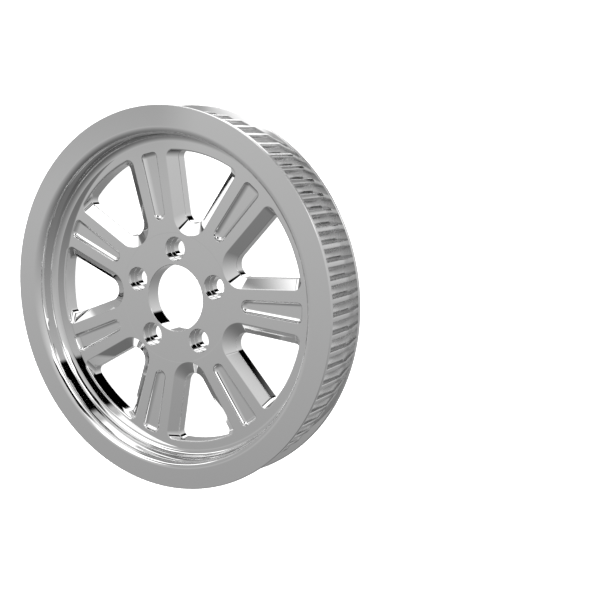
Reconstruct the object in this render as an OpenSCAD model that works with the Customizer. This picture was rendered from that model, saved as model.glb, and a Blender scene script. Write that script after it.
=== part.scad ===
// Toothed belt pulley of a final drive: one machined casting with seven spokes.
// Millimetres. Z runs along the axle, the front faces +Z, and the rear mounting
// face of the hub plate lies on Z = 0. Spoke 1 points along +X.

/* [Part to show] */
// Which part to show

/* [Belt teeth] */
// Number of teeth around the rim
teeth = 70; // [30:1:90]
// Distance from tooth to tooth along the belt's pitch line
belt_pitch = 14; // [8:0.5:20]
// How far the tooth tips lie inside the pitch line
tip_drop = 1.4; // [0.5:0.1:3]
// Radius of the rounded groove floor
groove_radius = 4.6; // [3:0.1:5.4]
// Radius of the rounded tooth corners
tooth_corner = 1.1; // [0.4:0.1:1.6]

/* [Rim] */
// Full width of the rim over both flanges
rim_width = 46.8; // [40:0.1:60]
// Outer radius of the front flange
front_flange_radius = 157.9; // [156:0.1:166]
// Outer radius of the rear flange
rear_flange_radius = 159; // [156:0.1:166]
// Thickness of the flanges at their outer edge
flange_edge = 2.9; // [1.5:0.1:5]
// Slope of the flange sides that guide the belt
flange_slope = 7; // [0:1:20]
// Rounding of the flange edges
flange_round = 0.7; // [0.2:0.1:1.2]

/* [Barrel] */
// Radius of the smooth wall inside the rim, on the front
barrel_radius = 135.1; // [130:0.1:140]
// Rounding from the front face into the barrel
barrel_round = 6; // [1:0.5:8]
// Fillet from the barrel to the plate
barrel_fillet = 6; // [1:0.5:8]
// Radius of the wall inside the rim, on the rear
rear_barrel_radius = 137; // [130:0.5:142]

/* [Hub plate] */
// Depth of the plate's front face below the front flange
plate_depth = 19.6; // [15:0.1:25]
// Thickness of the hub plate, the spokes and the outer ring
plate_thickness = 13.4; // [8:0.1:18]
// Radius of the centre bore
bore_radius = 27.94; // [20:0.01:35]
// Rounding of the bore's front edge
bore_round = 0.6; // [0.2:0.1:1]
// Diameter of the bolt circle
bolt_circle = 82.55; // [76:0.05:100]
// Number of bolts
bolts = 5; // [3:1:8]
// Radius of the bolt holes
bolt_hole_radius = 6.1; // [4:0.1:7]
// Radius of the recesses for the bolt heads
bolt_head_radius = 9.8; // [8:0.1:12]
// Depth of the recesses for the bolt heads
bolt_head_depth = 7; // [3:0.1:9]

/* [Windows between the spokes] */
// Number of spokes
spokes = 7; // [5:1:9]
// Radius that the windows start at, on the front face
window_inner = 54.6; // [50:0.1:70]
// Radius of the outer wall of the windows
window_outer = 122.1; // [110:0.1:126]
// Half width of a spoke on the front face, at radius 90
spoke_half = 15.6; // [10:0.1:20]
// How much a spoke's half width grows with each millimetre outward
spoke_growth = 0.0735; // [0:0.001:0.12]
// Width of the bevel along the spokes
bevel_width = 8.5; // [0:0.1:12]
// Length of the bevel at the hub end
bevel_hub = 10.4; // [0:0.1:14]
// Depth of the bevel
bevel_depth = 5.5; // [1:0.1:10]
// Rounding of the outer window corners
window_corner = 5; // [2:0.5:8]

/* [Pockets in the spokes] */
// Radius that the pockets start at
pocket_inner = 65.7; // [60:0.1:75]
// Radius that the pockets end at
pocket_outer = 122.1; // [110:0.1:126]
// Half width of a pocket at radius 90
pocket_half = 6.65; // [4:0.1:9]
// How much a pocket's half width grows with each millimetre outward
pocket_growth = 0.0575; // [0:0.001:0.1]
// Depth of a pocket, and radius of the cove around its floor
pocket_depth = 3; // [1:0.1:4]
// Rounding of the outer pocket corners
pocket_corner = 4; // [1:0.5:6]

/* [Hidden] */
$fn = 96;
grey = [0.72, 0.72, 0.72];
// Heights of the faces
plate_front = plate_thickness;
rim_front = plate_front + plate_depth;
rim_rear = rim_front - rim_width;
// Radii of the teeth
pitch_radius = teeth * belt_pitch / (2 * PI);
tip_radius = pitch_radius - tip_drop;
groove_centre = tip_radius - tooth_corner - 0.12;
root_radius = groove_centre - groove_radius;
flange_root = root_radius - 2;
spoke_step = 360 / spokes;
// Half the angle between the two sides of a window, and where the sides meet
window_half = spoke_step / 2 - atan(spoke_growth);
side_lean = atan(spoke_growth);
window_apex = side_meet(spoke_half);
window_apex_low = side_meet(spoke_half + bevel_width);
// The same two values for a pocket
pocket_lean = atan(pocket_growth);
pocket_apex = 90 - pocket_half / pocket_growth;

// Point on a window's centre line where its two sides meet, for a spoke half width at radius 90
function side_meet(half) =
    (half - 90 * spoke_growth) * cos(side_lean) / sin(window_half);

// Points of an arc
function arc(c, r, a0, a1, n) = [for (i = [0:n]) let (a = a0 + (a1 - a0) * i / n)
    [c[0] + r * cos(a), c[1] + r * sin(a)]];

// Outline with two straight sides that spread from an apex at angle h to each side of X,
// a round inner end that reaches radius e, an outer end on the circle ro, and outer corners rc
function slot_outline(ax, h, e, ro, rc) =
    let (rho = (e - ax) * sin(h) / (1 - sin(h)),
         t = h - asin((rc + ax * sin(h)) / (ro - rc)),
         cc = [(ro - rc) * cos(t), (ro - rc) * sin(t)])
    concat(arc([0, 0], ro, -t, t, 12),
           arc(cc, rc, t, 90 + h, 7),
           arc([e + rho, 0], rho, 90 + h, 270 - h, 18),
           arc([cc[0], -cc[1]], rc, 270 - h, 360 - t, 7));

// Solid through a stack of outlines, each with as many points
module stack(outlines, heights) {
    n = len(outlines[0]);
    m = len(outlines);
    pts = [for (k = [0:m - 1]) for (p = outlines[k]) [p[0], p[1], heights[k]]];
    bottom = [[for (i = [n - 1:-1:0]) i]];
    top = [[for (i = [0:n - 1]) (m - 1) * n + i]];
    sides = [for (k = [0:m - 2]) for (i = [0:n - 1]) let (j = (i + 1) % n)
        each [[k * n + i, k * n + j, (k + 1) * n + j], [k * n + i, (k + 1) * n + j, (k + 1) * n + i]]];
    polyhedron(points = pts, faces = concat(
        [for (f = bottom) [for (i = [len(f) - 1:-1:0]) f[i]]],
        [for (f = top) [for (i = [len(f) - 1:-1:0]) f[i]]],
        [for (f = sides) [for (i = [2:-1:0]) f[i]]]));
}

// Outline of a window at a share t of the bevel, 0 at the front face and 1 below the bevel
function window_at(t) = slot_outline(window_apex + (window_apex_low - window_apex) * t, window_half,
    window_inner + bevel_hub * t, window_outer, window_corner);

module window() {
    rotate([0, 0, spoke_step / 2])
        stack([window_at(1), window_at(1), window_at(-0.1)],
              [-1, plate_front - bevel_depth, plate_front + bevel_depth * 0.1]);
}

// Outline of a pocket, drawn in by d
function pocket_at(d) = slot_outline(pocket_apex + d / sin(pocket_lean), pocket_lean,
    pocket_inner + d, pocket_outer - d, max(pocket_corner - d, 1));

// The cove is two flats, which meet half way round it
module pocket() {
    stack([pocket_at(pocket_depth), pocket_at(pocket_depth * (1 - cos(45))),
           pocket_at(-pocket_depth * 0.1 * (1 - cos(45)) / sin(45))],
          [plate_front - pocket_depth, plate_front - pocket_depth * sin(45),
           plate_front + pocket_depth * 0.1]);
}

// Bit that rounds off an outer corner of a section: dx and dy point into the material
module nick(x, y, dx, dy, r) {
    difference() {
        translate([x + (dx > 0 ? -0.5 : -r), y + (dy > 0 ? -0.5 : -r)]) square(r + 0.5);
        translate([x + dx * r, y + dy * r]) circle(r);
    }
}

// Piece that fills an inner corner of a section: dx and dy point into the open
module fill(x, y, dx, dy, r) nick(x, y, dx, dy, r);

// Section of the pulley without teeth, turned about the axle
module section() {
    difference() {
        union() {
            // Hub plate, spokes and outer ring
            translate([bore_radius, 0]) square([barrel_radius + 3 - bore_radius, plate_thickness]);
            // Rim below the teeth
            polygon([[barrel_radius, rim_front], [barrel_radius, plate_front / 2],
                [rear_barrel_radius, plate_front / 2], [rear_barrel_radius, rim_rear],
                [flange_root, rim_rear], [flange_root, rim_front]]);
            // Front flange
            polygon([[flange_root - 1, rim_front], [front_flange_radius, rim_front],
                [front_flange_radius, rim_front - flange_edge],
                [flange_root, rim_front - flange_edge
                    - (front_flange_radius - flange_root) * tan(flange_slope)],
                [flange_root - 1, rim_front - flange_edge]]);
            // Rear flange
            polygon([[flange_root - 1, rim_rear], [rear_flange_radius, rim_rear],
                [rear_flange_radius, rim_rear + flange_edge],
                [flange_root, rim_rear + flange_edge
                    + (rear_flange_radius - flange_root) * tan(flange_slope)],
                [flange_root - 1, rim_rear + flange_edge]]);
            // Fillets where the barrel meets the plate
            fill(barrel_radius, plate_front, -1, 1, barrel_fillet);
            fill(rear_barrel_radius, 0, -1, -1, barrel_fillet / 2);
        }
        nick(barrel_radius, rim_front, 1, -1, barrel_round);
        nick(front_flange_radius, rim_front, -1, -1, flange_round);
        nick(rear_flange_radius, rim_rear, -1, 1, flange_round);
        nick(rear_barrel_radius, rim_rear, 1, 1, 1);
        nick(bore_radius, plate_front, 1, -1, bore_round);
    }
}

// One groove between two teeth, as seen along the axle
module groove() {
    translate([groove_centre, 0]) circle(groove_radius);
    difference() {
        translate([groove_centre, -groove_radius - tooth_corner])
            square([tooth_corner + 3, 2 * (groove_radius + tooth_corner)]);
        for (s = [-1, 1]) translate([groove_centre, s * (groove_radius + tooth_corner)])
            circle(tooth_corner);
    }
}

// Ring of teeth
module tooth_ring() {
    translate([0, 0, rim_rear + flange_edge * 0.8])
        linear_extrude(rim_width - 1.6 * flange_edge)
            difference() {
                circle(tip_radius, $fn = 360);
                circle(flange_root - 3, $fn = 180);
                for (i = [0:teeth - 1]) rotate((i + 0.5) * 360 / teeth) groove($fn = 32);
            }
}

module bolt_hole() {
    translate([0, 0, -1]) cylinder(r = bolt_hole_radius, h = plate_thickness + 2);
    translate([0, 0, plate_front - bolt_head_depth])
        cylinder(r = bolt_head_radius, h = bolt_head_depth + 1);
}

module pulley() {
    color(grey) difference() {
        union() {
            rotate_extrude($fn = 240) section($fn = 48);
            tooth_ring();
        }
        for (i = [0:spokes - 1]) rotate([0, 0, i * spoke_step]) {
            window();
            pocket();
        }
        for (i = [0:bolts - 1]) rotate([0, 0, 90 + i * 360 / bolts])
            translate([bolt_circle / 2, 0, 0]) bolt_hole();
    }
}

pulley();
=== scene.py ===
import math

import bpy
import numpy as np
from mathutils import Matrix, Vector
from mathutils.geometry import delaunay_2d_cdt

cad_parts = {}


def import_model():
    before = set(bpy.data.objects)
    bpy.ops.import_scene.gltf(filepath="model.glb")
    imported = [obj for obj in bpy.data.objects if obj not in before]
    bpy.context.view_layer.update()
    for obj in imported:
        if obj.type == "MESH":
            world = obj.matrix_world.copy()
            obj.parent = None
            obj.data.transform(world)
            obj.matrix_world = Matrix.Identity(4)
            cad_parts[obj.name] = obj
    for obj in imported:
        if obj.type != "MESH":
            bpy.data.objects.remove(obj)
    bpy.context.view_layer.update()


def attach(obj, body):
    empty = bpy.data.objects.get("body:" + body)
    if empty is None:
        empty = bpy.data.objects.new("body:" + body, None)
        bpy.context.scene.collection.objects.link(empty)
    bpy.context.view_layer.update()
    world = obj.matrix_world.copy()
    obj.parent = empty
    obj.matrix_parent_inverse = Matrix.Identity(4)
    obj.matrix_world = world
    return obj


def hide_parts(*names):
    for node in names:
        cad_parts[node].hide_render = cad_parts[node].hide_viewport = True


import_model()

# Sizes in millimetres, as in the part's source apart from the pockets' softer cove
TEETH, BELT_PITCH, TIP_DROP = 70, 14.0, 1.4
GROOVE_RADIUS, TOOTH_CORNER, GROOVE_SINK = 4.6, 1.1, 0.12
PLATE_FRONT, PLATE_DEPTH, RIM_WIDTH = 13.4, 19.6, 46.8
FRONT_FLANGE, REAR_FLANGE, FLANGE_EDGE, FLANGE_SLOPE = 157.9, 159.0, 2.9, 7.0
BARREL, BARREL_ROUND, BARREL_FILLET, REAR_BARREL = 135.1, 6.0, 6.0, 137.0
BORE, BORE_ROUND = 27.94, 0.6
BOLT_CIRCLE, BOLTS, BOLT_HOLE, BOLT_HEAD, BOLT_HEAD_DEPTH = 82.55, 5, 6.1, 9.8, 7.0
SPOKES, SPOKE_HALF, SPOKE_GROWTH = 7, 15.6, 0.0735
WINDOW_INNER, WINDOW_OUTER, WINDOW_CORNER = 54.6, 122.1, 5.0
BEVEL_WIDTH, BEVEL_HUB, BEVEL_DEPTH = 8.5, 10.4, 5.5
POCKET_INNER, POCKET_OUTER, POCKET_HALF, POCKET_GROWTH = 65.7, 122.1, 6.65, 0.0575
POCKET_DEPTH, POCKET_SLOPE, POCKET_COVE, POCKET_CORNER = 3.0, 1.3, 4.0, 4.0
WIDTHS_AT = 90  # radius at which spokes and pockets have the half widths above

RIM_FRONT = PLATE_FRONT + PLATE_DEPTH
RIM_REAR = RIM_FRONT - RIM_WIDTH
TIP = TEETH * BELT_PITCH / (2 * math.pi) - TIP_DROP
GROOVE_CENTRE = TIP - TOOTH_CORNER - GROOVE_SINK
SPOKE_STEP = 2 * math.pi / SPOKES
SLOPE = math.radians(FLANGE_SLOPE)
WINDOW_HALF = SPOKE_STEP / 2 - math.atan(SPOKE_GROWTH)

# Small rounds of the flanges, of the rear barrel's edge, of sharp edges, of a recess and
# of the hole in it
FLANGE_ROUND, REAR_ROUND, FINE_ROUND, RECESS_ROUND, HOLE_ROUND = 0.7, 1.0, 0.4, 0.5, 0.35
# Rounds down the walls of a window and of a pocket, each with its steps
WINDOW_ROUNDS = [(1.5, 6), (0.9, 5), (FINE_ROUND, 4)]
POCKET_ROUNDS = [(0.25, 4), (POCKET_COVE, 14)]
# Radii at which the turned faces meet the plate's two faces and the flanges' inner faces
PLATE_EDGE, REAR_EDGE, FLANGE_MEET, FLANGE_GAP = 127.0, 130.0, 156.0, 0.4
# How far outside the bore, the recesses and the bolt holes the plate's faces begin
BORE_RING, RECESS_RING, HOLE_RING = 2, 0.9, 0.8
# Steps round the rim, the bore, a bolt hole, a tooth's corner and a groove
RIM_STEPS, BORE_STEPS, BOLT_STEPS, CORNER_STEPS, GROOVE_STEPS = 560, 120, 64, 4, 12
CORNER_START = 5  # degrees, where a tooth's corner leaves its land
# A turn below this angle (radians) gets no round, but points this far to each side
STRAIGHT, STRAIGHT_HALF = 0.02, 0.15


class Skin:
    """A mesh in millimetres. Each corner of a face has a normal of its own."""

    def __init__(self):
        self.points, self.index, self.faces, self.normals = [], {}, [], []

    def add(self, p):
        """Index of a point, which is shared by the faces that meet there."""
        key = (round(p[0], 4), round(p[1], 4), round(p[2], 4))
        if key not in self.index:
            self.index[key] = len(self.points)
            self.points.append(tuple(p))
        return self.index[key]

    def face(self, pts, normals):
        """Adds a face, turned to agree with its normals. One with no area is left out."""
        ids = [self.add(p) for p in pts]
        keep = [i for i in range(len(ids)) if ids[i] != ids[i - 1]]
        if len(keep) < 3 or len(set(ids[i] for i in keep)) < len(keep):
            return
        a, b, c = (np.array(self.points[ids[i]]) for i in keep[:3])
        if len(keep) == 4:
            d = np.array(self.points[ids[keep[3]]])
            flat = np.cross(c - a, d - b)
        else:
            flat = np.cross(b - a, c - a)
        if float(np.dot(flat, np.sum([normals[i] for i in keep], axis=0))) < 0:
            keep.reverse()
        self.faces.append([ids[i] for i in keep])
        self.normals += [tuple(normals[i]) for i in keep]

    def strip(self, a, b, na, nb):
        """Quads between two closed rings with as many points."""
        for i in range(len(a)):
            j = (i + 1) % len(a)
            self.face([a[i], a[j], b[j], b[i]], [na[i], na[j], nb[j], nb[i]])

    def stack(self, rings, normals):
        """Strips between each ring and the next."""
        for k in range(len(rings) - 1):
            self.strip(rings[k], rings[k + 1], normals[k], normals[k + 1])

    def zipper(self, a, b, na, nb):
        """Triangles between two closed rings about the axle that have different counts."""
        fa, fb = ([math.atan2(p[1], p[0]) % (2 * math.pi) for p in r] for r in (a, b))
        oa = sorted(range(len(a)), key=lambda i: fa[i])
        ob = sorted(range(len(b)), key=lambda i: fb[i])
        i = j = 0
        while i < len(oa) or j < len(ob):
            ca, cb = oa[i % len(oa)], ob[j % len(ob)]
            after_a, after_b = oa[(i + 1) % len(oa)], ob[(j + 1) % len(ob)]
            next_a = fa[after_a] + (2 * math.pi if i + 1 >= len(oa) else 0)
            next_b = fb[after_b] + (2 * math.pi if j + 1 >= len(ob) else 0)
            if i < len(oa) and (j >= len(ob) or next_a <= next_b):
                self.face([a[ca], a[after_a], b[cb]], [na[ca], na[after_a], nb[cb]])
                i += 1
            else:
                self.face([a[ca], b[after_b], b[cb]], [na[ca], nb[after_b], nb[cb]])
                j += 1

    def plane(self, z, up, outer, holes):
        """Flat face at a height, inside the outer ring and outside the holes."""
        loops = [[(p[0], p[1]) for p in loop] for loop in [outer] + holes]
        co, edges = [], []
        for loop in loops:
            k = len(co)
            co += loop
            edges += [(k + i, k + (i + 1) % len(loop)) for i in range(len(loop))]
        _, _, faces, orig, *_ = delaunay_2d_cdt([Vector(c) for c in co], edges, [], 0, 1e-5, True)
        centres = [[sum(co[orig[v][0]][k] for v in f) / 3 for k in (0, 1)] for f in faces]
        x, y = np.array(centres).T
        # A triangle belongs to the face if its centre lies in the outer ring alone
        inside = np.zeros(len(x), int)
        for p in map(np.array, loops):
            odd = np.zeros(len(x), bool)
            for (x0, y0), (x1, y1) in zip(p, np.roll(p, -1, 0)):
                hit = (y0 > y) != (y1 > y)
                if hit.any():
                    odd[hit] ^= x[hit] < (x1 - x0) * (y[hit] - y0) / (y1 - y0) + x0
            inside += odd
        n = (0.0, 0.0, up)
        for f, loops_around in zip(faces, inside):
            if loops_around == 1:
                self.face([(*co[orig[v][0]], z) for v in f], [n, n, n])

    def build(self, name):
        """The finished object, in metres."""
        me = bpy.data.meshes.new(name)
        points = [(x / 1000, y / 1000, z / 1000) for x, y, z in self.points]
        me.from_pydata(points, [], self.faces)
        me.validate()
        me.update()
        me.polygons.foreach_set("use_smooth", [True] * len(me.polygons))
        me.normals_split_custom_set([Vector(n).normalized() for n in self.normals])
        obj = bpy.data.objects.new(name, me)
        bpy.context.scene.collection.objects.link(obj)
        return obj


def unit(v):
    return v / np.linalg.norm(v)


def fillet(p, e1, e2, radius, n1, steps):
    """Round of a path at p, from direction e1 to e2: its points and surface normals.
    Where the path hardly turns, the points lie close together along it."""
    cosine = float(np.clip(np.dot(e1, e2), -1, 1))
    turn = math.acos(cosine)
    if turn < STRAIGHT:
        n = unit(n1 - np.dot(n1, e1) * e1)
        pts = [p + e1 * STRAIGHT_HALF * (2 * s / steps - 1) for s in range(steps + 1)]
        return pts, [n] * (steps + 1)
    m = unit(e2 - cosine * e1)
    t = radius * math.tan(turn / 2)
    side = 1.0 if np.dot(n1, -m) > 0 else -1.0
    pts, nor = [], []
    for s in range(steps + 1):
        a = turn * s / steps
        pts.append(p - e1 * t + radius * (math.sin(a) * e1 + (1 - math.cos(a)) * m))
        nor.append(side * (-m * math.cos(a) + e1 * math.sin(a)))
    return pts, nor


def rounded(path, first_normal):
    """Section through the axle, from path, which is [(r, z, round, steps)]. Its corners get
    their rounds. Gives [((r, z), (nr, nz))], each point with its normal."""
    p = [np.array(q[:2], float) for q in path]
    n = unit(np.array(first_normal, float))
    out = [(p[0], n)]
    for k in range(1, len(p) - 1):
        e1, e2 = unit(p[k] - p[k - 1]), unit(p[k + 1] - p[k])
        n = unit(n - np.dot(n, e1) * e1)
        pts, nor = fillet(p[k], e1, e2, path[k][2], n, path[k][3])
        out += list(zip(pts, nor))
        n = nor[-1]
    out.append((p[-1], n))
    return out


def lathe(skin, section, count, centre=(0.0, 0.0)):
    """Turns a section about the axle, or about a line beside it. Gives the first and last
    rings, and their normals."""
    rings, normals = [], []
    for (r, z), (nr, nz) in section:
        ring, nor = [], []
        for i in range(count):
            a = 2 * math.pi * i / count
            c, s = math.cos(a), math.sin(a)
            ring.append((centre[0] + r * c, centre[1] + r * s, z))
            nor.append((nr * c, nr * s, nz))
        rings.append(ring)
        normals.append(nor)
    skin.stack(rings, normals)
    return rings[0], rings[-1], normals[0], normals[-1]


def arc(c, r, a0, a1, n, last=True):
    """Points of an arc with their directions, with or without the last one."""
    return [(c[0] + r * math.cos(a), c[1] + r * math.sin(a), a)
            for a in (a0 + (a1 - a0) * i / n for i in range(n + (1 if last else 0)))]


def slot_outline(ax, h, e, ro, rc, steps=(16, 8, 26)):
    """Outline with two straight sides that lean out by the angle h from an apex at ax. Its
    inner end is a round that starts at radius e, and its outer end follows radius ro, with
    corners of radius rc.
    Each point has the direction that the outline faces there."""
    rho = (e - ax) * math.sin(h) / (1 - math.sin(h))
    t = h - math.asin((rc + ax * math.sin(h)) / (ro - rc))
    cc = ((ro - rc) * math.cos(t), (ro - rc) * math.sin(t))
    q = math.pi / 2 + h
    n0, n1, n2 = steps
    return (arc((0, 0), ro, -t, t, n0, False) + arc(cc, rc, t, q, n1)
            + arc((e + rho, 0), rho, q, 2 * math.pi - q, n2)
            + arc((cc[0], -cc[1]), rc, 2 * math.pi - q, 2 * math.pi - t, n1, False))


def side_meet(half):
    """Where the sides of two spokes with this half width meet, as a radius."""
    lean = math.atan(SPOKE_GROWTH)
    return (half - WIDTHS_AT * SPOKE_GROWTH) * math.cos(lean) / math.sin(WINDOW_HALF)


def window_at(t):
    """Outline of a window, from its outer edge at t = 0 to the inner end of its bevel at 1."""
    a, b = side_meet(SPOKE_HALF), side_meet(SPOKE_HALF + BEVEL_WIDTH)
    return slot_outline(a + (b - a) * t, WINDOW_HALF, WINDOW_INNER + BEVEL_HUB * t,
                        WINDOW_OUTER, WINDOW_CORNER)


def pocket_at(d):
    """Outline of a pocket, moved inwards by d."""
    lean = math.atan(POCKET_GROWTH)
    apex = WIDTHS_AT - POCKET_HALF / POCKET_GROWTH
    return slot_outline(apex + d / math.sin(lean), lean, POCKET_INNER + d, POCKET_OUTER - d,
                        max(POCKET_CORNER - d, 1), (6, 6, 14))


def turned(points, angle):
    """Points turned about the axle."""
    c, s = math.cos(angle), math.sin(angle)
    return [(x * c - y * s, x * s + y * c, z) for x, y, z in points]


def walls(skin, levels, rounds, turn, sink):
    """Wall of a hole or pocket through outlines at given heights, with rounded edges. levels
    is [(outline, z)]; it starts on the face around and ends on the face or floor behind.
    sink is 1 where the last face lies outside the outline and -1 where it is a floor inside."""
    count = len(levels[0][0])
    cols, cols_n = [], []
    for i in range(count):
        pts = [np.array((o[i][0], o[i][1], z)) for o, z in levels]
        face_dirs = [np.array((math.cos(o[i][2]), math.sin(o[i][2]), 0.0)) for o, z in levels]
        col, nor = [], []
        n = np.array((0.0, 0.0, 1.0))
        e1 = -face_dirs[0]
        for k, p in enumerate(pts):
            out = face_dirs[k]
            along = np.array((-out[1], out[0], 0.0))

            def down(d):
                return unit(d - np.dot(d, along) * along)

            e2 = down(pts[k + 1] - p) if k + 1 < len(pts) else out * sink
            if k > 0:
                e1 = down(p - pts[k - 1])
                n = unit(n - np.dot(n, e1) * e1)
            radius, steps = rounds[k]
            a, b = fillet(p, e1, e2, radius, n, steps)
            if k > 0:
                # Three more rings down the straight stretch
                q, nq = col[-1], nor[-1]
                for s in (0.25, 0.5, 0.75):
                    col.append(q + (a[0] - q) * s)
                    nor.append(unit(nq + (b[0] - nq) * s))
            col += a
            nor += b
            n = b[-1]
        cols.append(turned(col, turn))
        cols_n.append(turned(nor, turn))
    rings = [[c[k] for c in cols] for k in range(len(cols[0]))]
    normals = [[c[k] for c in cols_n] for k in range(len(cols[0]))]
    skin.stack(rings, normals)
    return rings[0], rings[-1]


def tooth_outline():
    """Points around the teeth with the direction that the surface faces, in order of angle."""
    c, w = GROOVE_CENTRE, GROOVE_RADIUS + TOOTH_CORNER
    # One groove, with a corner before and after it
    seg = []
    for s in range(CORNER_STEPS + 1):
        b = math.radians(CORNER_START + (90 - CORNER_START) * s / CORNER_STEPS)
        seg.append((c + TOOTH_CORNER * math.cos(b), TOOTH_CORNER * math.sin(b) - w,
                    math.cos(b), math.sin(b)))
    for s in range(1, GROOVE_STEPS):
        b = math.pi * s / GROOVE_STEPS
        seg.append((c - GROOVE_RADIUS * math.sin(b), -GROOVE_RADIUS * math.cos(b),
                    math.sin(b), math.cos(b)))
    for s in range(CORNER_STEPS + 1):
        b = math.radians(90 - (90 - CORNER_START) * s / CORNER_STEPS)
        seg.append((c + TOOTH_CORNER * math.cos(b), w - TOOTH_CORNER * math.sin(b),
                    math.cos(b), -math.sin(b)))
    out = []
    for i in range(TEETH):
        turn = (i + 0.5) * 2 * math.pi / TEETH
        ct, st = math.cos(turn), math.sin(turn)
        out += [(x * ct - y * st, x * st + y * ct, nx * ct - ny * st, nx * st + ny * ct)
                for x, y, nx, ny in seg]
        # The middle of the land that follows
        a = turn + math.pi / TEETH
        out.append((TIP * math.cos(a), TIP * math.sin(a), math.cos(a), math.sin(a)))
    return out


def front_under(r):
    """Height of the front flange's inner face at a radius."""
    return RIM_FRONT - FLANGE_EDGE - (FRONT_FLANGE - r) * math.tan(SLOPE)


def rear_top(r):
    """Height of the rear flange's inner face at a radius."""
    return RIM_REAR + FLANGE_EDGE + (REAR_FLANGE - r) * math.tan(SLOPE)


def build_rim(skin):
    """The rim with its teeth. Gives the rings where it meets the front and rear of the plate."""
    # From the plate up the barrel and over the front flange
    front = rounded([(PLATE_EDGE, PLATE_FRONT, 0, 0), (BARREL, PLATE_FRONT, BARREL_FILLET, 12),
                     (BARREL, RIM_FRONT, BARREL_ROUND, 14),
                     (FRONT_FLANGE, RIM_FRONT, FLANGE_ROUND, 5),
                     (FRONT_FLANGE, RIM_FRONT - FLANGE_EDGE, FINE_ROUND, 4),
                     (FLANGE_MEET, front_under(FLANGE_MEET), 0, 0)], (0, 1))
    plate_ring, front_ring, _, front_n = lathe(skin, front, RIM_STEPS)
    # Over the rear flange and down to the rear of the plate
    rear = rounded([(FLANGE_MEET, rear_top(FLANGE_MEET), 0, 0),
                    (REAR_FLANGE, RIM_REAR + FLANGE_EDGE, FLANGE_ROUND, 5),
                    (REAR_FLANGE, RIM_REAR, FLANGE_ROUND, 5),
                    (REAR_BARREL, RIM_REAR, REAR_ROUND, 5),
                    (REAR_BARREL, 0, BARREL_FILLET / 2, 8), (REAR_EDGE, 0, 0, 0)],
                   (math.sin(SLOPE), math.cos(SLOPE)))
    rear_ring, back_ring, rear_n, _ = lathe(skin, rear, RIM_STEPS)
    # The teeth, and the flanges' inner faces outside them
    outline = tooth_outline()
    radii = [math.hypot(x, y) for x, y, _, _ in outline]
    unit_r = [(x / r, y / r) for (x, y, _, _), r in zip(outline, radii)]
    step = FLANGE_MEET - FLANGE_GAP
    edges = []
    for ring, ring_n, z_of, up in ((front_ring, front_n, front_under, -1),
                                   (rear_ring, rear_n, rear_top, 1)):
        inner = [(x, y, z_of(r)) for (x, y, _, _), r in zip(outline, radii)]
        outer = [(c * step, s * step, z_of(step)) for c, s in unit_r]
        n = [(c * math.sin(SLOPE), s * math.sin(SLOPE), up * math.cos(SLOPE))
             for c, s in unit_r]
        skin.strip(inner, outer, n, n)
        skin.zipper(outer, ring, n, ring_n)
        edges.append(inner)
    side_n = [(nx, ny, 0.0) for _, _, nx, ny in outline]
    skin.strip(*edges, side_n, side_n)
    return plate_ring, back_ring


def build_pulley():
    skin = Skin()
    plate_ring, back_ring = build_rim(skin)
    top_holes, bottom_holes = [], []
    # Bore
    bore = rounded([(BORE + BORE_RING, PLATE_FRONT, 0, 0), (BORE, PLATE_FRONT, BORE_ROUND, 5),
                    (BORE, 0, 0, 0)], (0, 1))
    first, last, _, _ = lathe(skin, bore, BORE_STEPS)
    top_holes.append(first)
    bottom_holes.append(last)
    # Bolt holes with recesses for the heads
    seat = PLATE_FRONT - BOLT_HEAD_DEPTH
    hole = rounded([(BOLT_HEAD + RECESS_RING, PLATE_FRONT, 0, 0),
                    (BOLT_HEAD, PLATE_FRONT, RECESS_ROUND, 5), (BOLT_HEAD, seat, RECESS_ROUND, 4),
                    (BOLT_HOLE, seat, HOLE_ROUND, 4), (BOLT_HOLE, 0, FINE_ROUND, 4),
                    (BOLT_HOLE + HOLE_RING, 0, 0, 0)], (0, 1))
    for k in range(BOLTS):
        a = math.pi / 2 + 2 * math.pi * k / BOLTS
        c = (BOLT_CIRCLE / 2 * math.cos(a), BOLT_CIRCLE / 2 * math.sin(a))
        first, last, _, _ = lathe(skin, hole, BOLT_STEPS, c)
        top_holes.append(first)
        bottom_holes.append(last)
    # Windows between the spokes, and a pocket in each spoke
    floor_z = PLATE_FRONT - POCKET_DEPTH
    window = [(window_at(0), PLATE_FRONT), (window_at(1), PLATE_FRONT - BEVEL_DEPTH),
              (window_at(1), 0.0)]
    pocket = [(pocket_at(0), PLATE_FRONT), (pocket_at(POCKET_SLOPE), floor_z)]
    for k in range(SPOKES):
        first, last = walls(skin, window, WINDOW_ROUNDS, SPOKE_STEP * (k + 0.5), 1)
        top_holes.append(first)
        bottom_holes.append(last)
        first, last = walls(skin, pocket, POCKET_ROUNDS, SPOKE_STEP * k, -1)
        top_holes.append(first)
        skin.plane(floor_z, 1.0, last, [])
    skin.plane(PLATE_FRONT, 1.0, plate_ring, top_holes)
    skin.plane(0.0, -1.0, back_ring, bottom_holes)
    return skin.build("pulley_skin")


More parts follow.
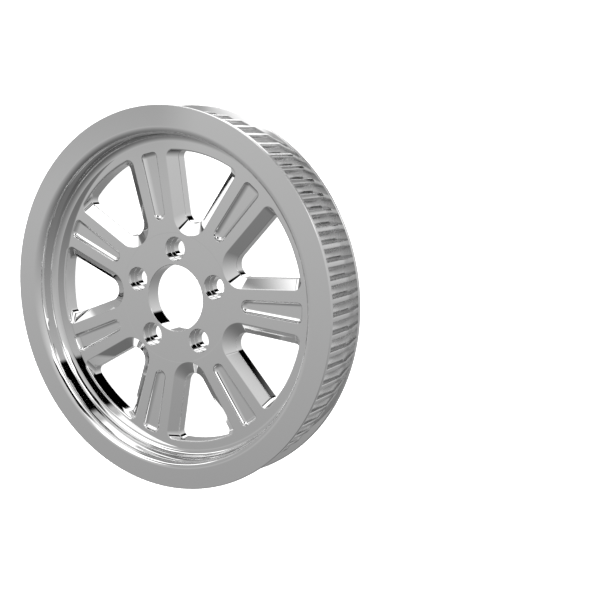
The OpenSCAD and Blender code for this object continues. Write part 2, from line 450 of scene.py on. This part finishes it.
class Nodes:
    """Short calls that add nodes to a tree. A value is a number or another node's output."""

    def __init__(self, tree):
        self.tree = tree

    def put(self, socket, value):
        if isinstance(value, (int, float)):
            socket.default_value = value
        else:
            self.tree.links.new(value, socket)

    def split(self, kind):
        """The three parts of a texture coordinate, and the coordinate itself."""
        co = self.tree.nodes.new("ShaderNodeTexCoord").outputs[kind]
        sep = self.tree.nodes.new("ShaderNodeSeparateXYZ")
        self.put(sep.inputs[0], co)
        return (*sep.outputs, co)

    def calc(self, op, *args):
        n = self.tree.nodes.new("ShaderNodeMath")
        n.operation = op
        for socket, value in zip(n.inputs, args):
            self.put(socket, value)
        return n.outputs[0]

    def ramp(self, v, a, b, to_a=0.0, to_b=1.0):
        """Smooth step from to_a, where v is a, to to_b, where it is b."""
        n = self.tree.nodes.new("ShaderNodeMapRange")
        n.interpolation_type = "SMOOTHSTEP"
        for name, value in (("Value", v), ("From Min", a), ("From Max", b),
                            ("To Min", to_a), ("To Max", to_b)):
            self.put(n.inputs[name], value)
        return n.outputs[0]

    def band(self, v, lo, hi, soft):
        """1 from lo to hi and 0 elsewhere, with soft ends."""
        return self.calc("MULTIPLY", self.ramp(v, lo - soft, lo + soft),
                         self.calc("SUBTRACT", 1.0, self.ramp(v, hi - soft, hi + soft)))

    def mix(self, factor, a, b):
        n = self.tree.nodes.new("ShaderNodeMix")
        n.data_type = "FLOAT"
        for k, value in ((0, factor), (2, a), (3, b)):
            self.put(n.inputs[k], value)
        return n.outputs[0]


CHROME_TONE = 0.68
# Where the belt runs: radius and height in metres, each with the ends of its soft edge
BELT_INNER, BELT_OUTER = (0.1440, 0.1442), (0.1558, 0.1562)
BELT_REAR, BELT_FRONT = (-0.0097, -0.0094), (0.0287, 0.0290)
# Noise range and the roughness that it gives, for the plating and for the belt's zone
POLISHED, SATIN = (0.35, 0.75, 0.02, 0.045), (0.3, 0.7, 0.22, 0.28)
MOTTLE_SCALE, MOTTLE_DETAIL = 60.0, 5.0
# Faint step round the hub face: its radius from and to, and its height
HUB_CIRCLE, HUB_CIRCLE_HEIGHT = (0.0542, 0.0550), 0.00003


def chrome():
    """Polished plating, with a satin finish where the belt runs."""
    m = bpy.data.materials.new("polished_chrome")
    m.use_nodes = True
    t = Nodes(m.node_tree)
    b = m.node_tree.nodes["Principled BSDF"]
    b.inputs["Base Color"].default_value = (CHROME_TONE, CHROME_TONE, CHROME_TONE, 1)
    b.inputs["Metallic"].default_value = 1.0
    x, y, z, co = t.split("Object")
    radius = t.calc("SQRT", t.calc("ADD", t.calc("MULTIPLY", x, x), t.calc("MULTIPLY", y, y)))
    belt = t.ramp(radius, *BELT_INNER)
    for edge in (t.ramp(z, *BELT_REAR), t.ramp(z, *BELT_FRONT, 1.0, 0.0),
                 t.ramp(radius, *BELT_OUTER, 1.0, 0.0)):
        belt = t.calc("MULTIPLY", belt, edge)
    mottle = m.node_tree.nodes.new("ShaderNodeTexNoise")
    mottle.inputs["Scale"].default_value = MOTTLE_SCALE
    mottle.inputs["Detail"].default_value = MOTTLE_DETAIL
    t.put(mottle.inputs["Vector"], co)
    polished, satin = (t.ramp(mottle.outputs[0], *finish) for finish in (POLISHED, SATIN))
    t.put(b.inputs["Roughness"], t.mix(belt, polished, satin))
    bump = m.node_tree.nodes.new("ShaderNodeBump")
    bump.inputs["Distance"].default_value = HUB_CIRCLE_HEIGHT
    t.put(bump.inputs["Height"], t.ramp(radius, *HUB_CIRCLE))
    t.put(b.inputs["Normal"], bump.outputs[0])
    return m


skin = build_pulley()
skin.data.materials.append(chrome())
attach(skin, "root")
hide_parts("pulley")

# A plain studio with soft cards. Each is given by the direction that a ray leaves in:
# azimuth from and to (degrees), height from and to (sine of the elevation), how fast
# that height falls along the card, softness of its two ends (radians), brightness.
CARDS = [
    (139, 235, -1.2, -0.55, 0, 0.2, 0.44),
    (97, 138, -0.85, 0, 0, 0.04, 2.3),
    (112, 149, 0.04, 0.82, 0, 0.05, 0.35),
    (148, 182, 0.04, 0.8, 0, 0.1, 0.52),
    (120, 156, 0.74, 0.91, 0, 0.05, 2.3),
    (148, 162, 0.2, 0.33, 0, 0.05, 0.88),
    (81, 94, 0.78, 0.88, 0.2, 0.03, 0),
    (93, 129, 0.48, 0.81, 0.32, 0.05, 2.3),
    (124, 153, 0.37, 0.53, 0.69, 0.04, 2.3),
    (28, 66, 0.07, 0.4, 0, 0.05, 2.3),
    (34, 48, 0.2, 0.68, 0, 0.05, 2.3),
    (48, 83, 0.43, 0.825, 0, 0.05, 0),
    (41, 56, 0.6, 0.86, 0, 0.03, 0),
    (45, 96, -0.42, -0.02, 0, 0.05, 0.5),
    (48, 92, -0.84, -0.45, 0.035, 0.09, 0),
    (80, 98, -0.85, -0.45, 0.035, 0.03, 0),
    (50, 110, -1.2, -0.855, 0.035, 0.09, 0.45),
]
# Softness of a card's height, and the light around the cards: its middle and its rise in y
CARD_SOFT, STUDIO_LEVEL, STUDIO_RISE = 0.015, 0.667, 0.53


def world():
    w = bpy.data.worlds.new("studio")
    bpy.context.scene.world = w
    w.use_nodes = True
    w.node_tree.nodes.clear()
    out = w.node_tree.nodes.new("ShaderNodeOutputWorld")
    bg = w.node_tree.nodes.new("ShaderNodeBackground")
    t = Nodes(w.node_tree)
    t.put(out.inputs[0], bg.outputs[0])
    x, y, z, _ = t.split("Generated")
    az = t.calc("ARCTAN2", y, x)
    value = t.calc("ADD", t.calc("MULTIPLY", y, STUDIO_RISE), STUDIO_LEVEL)
    for az0, az1, z0, z1, tilt, soft, level in CARDS:
        mid, half = math.radians((az0 + az1) / 2), math.radians((az1 - az0) / 2)
        d = t.calc("WRAP", t.calc("SUBTRACT", az, mid), math.pi, -math.pi)
        height = t.calc("ADD", z, t.calc("MULTIPLY", d, tilt))
        card = t.calc("MULTIPLY", t.band(d, -half, half, soft), t.band(height, z0, z1, CARD_SOFT))
        value = t.mix(card, value, level)
    t.put(bg.inputs["Color"], value)


world()

# Floor, in metres: half its side, and how far it lies under the rim to keep clear of it
FLOOR_HALF, FLOOR_DROP = 6.0, 0.0001
FLOOR_TONE, FLOOR_ROUGHNESS, FLOOR_GLOW = 0.9, 0.9, 0.92
mesh = bpy.data.meshes.new("floor")
mesh.from_pydata([(-FLOOR_HALF, -FLOOR_HALF, 0), (FLOOR_HALF, -FLOOR_HALF, 0),
                  (FLOOR_HALF, FLOOR_HALF, 0), (-FLOOR_HALF, FLOOR_HALF, 0)], [], [(0, 1, 2, 3)])
floor = bpy.data.objects.new("floor", mesh)
bpy.context.scene.collection.objects.link(floor)
floor.location = (0, 0, RIM_REAR / 1000 - FLOOR_DROP)
fm = bpy.data.materials.new("pale_floor")
fm.use_nodes = True
fb = fm.node_tree.nodes["Principled BSDF"]
fb.inputs["Base Color"].default_value = (FLOOR_TONE, FLOOR_TONE, FLOOR_TONE, 1)
fb.inputs["Roughness"].default_value = FLOOR_ROUGHNESS
fb.inputs["Emission Color"].default_value = (1, 1, 1, 1)
fb.inputs["Emission Strength"].default_value = FLOOR_GLOW
floor.data.materials.append(fm)
floor.visible_glossy = False

# Light from above: place, diameter (metres) and power (watts)
LIGHT_PLACE, LIGHT_SIZE, LIGHT_POWER = (0.3, 0.4, 2.2), 2.0, 60
light = bpy.data.lights.new("key", "AREA")
light.shape = "DISK"
light.size = LIGHT_SIZE
light.energy = LIGHT_POWER
key = bpy.data.objects.new("key", light)
bpy.context.scene.collection.objects.link(key)
key.location = LIGHT_PLACE
key.rotation_euler = (-Vector(LIGHT_PLACE)).to_track_quat("-Z", "Y").to_euler()
key.visible_glossy = False

# Camera at the photograph's place and turn: its axes to the right, down and forward
CAMERA_AXES = ((0.86806, 0.01906, -0.49609), (0.09992, -0.98552, 0.13697),
               (-0.48630, -0.16847, -0.85740))
CAMERA_PLACE = (0.48354, 0.13651, 0.65457)
FOCAL_LENGTH, SENSOR_WIDTH, CLIP_START = 58.13, 36.0, 0.01
cam_data = bpy.data.cameras.new("camera")
cam_data.sensor_width = SENSOR_WIDTH
cam_data.lens = FOCAL_LENGTH
cam_data.clip_start = CLIP_START
cam = bpy.data.objects.new("camera", cam_data)
bpy.context.scene.collection.objects.link(cam)
right, down, forward = (Vector(a) for a in CAMERA_AXES)
m = Matrix((right, -down, -forward)).transposed().to_4x4()
m.translation = Vector(CAMERA_PLACE)
cam.matrix_world = m
bpy.context.scene.camera = cam

bpy.context.scene.view_settings.view_transform = "Standard"
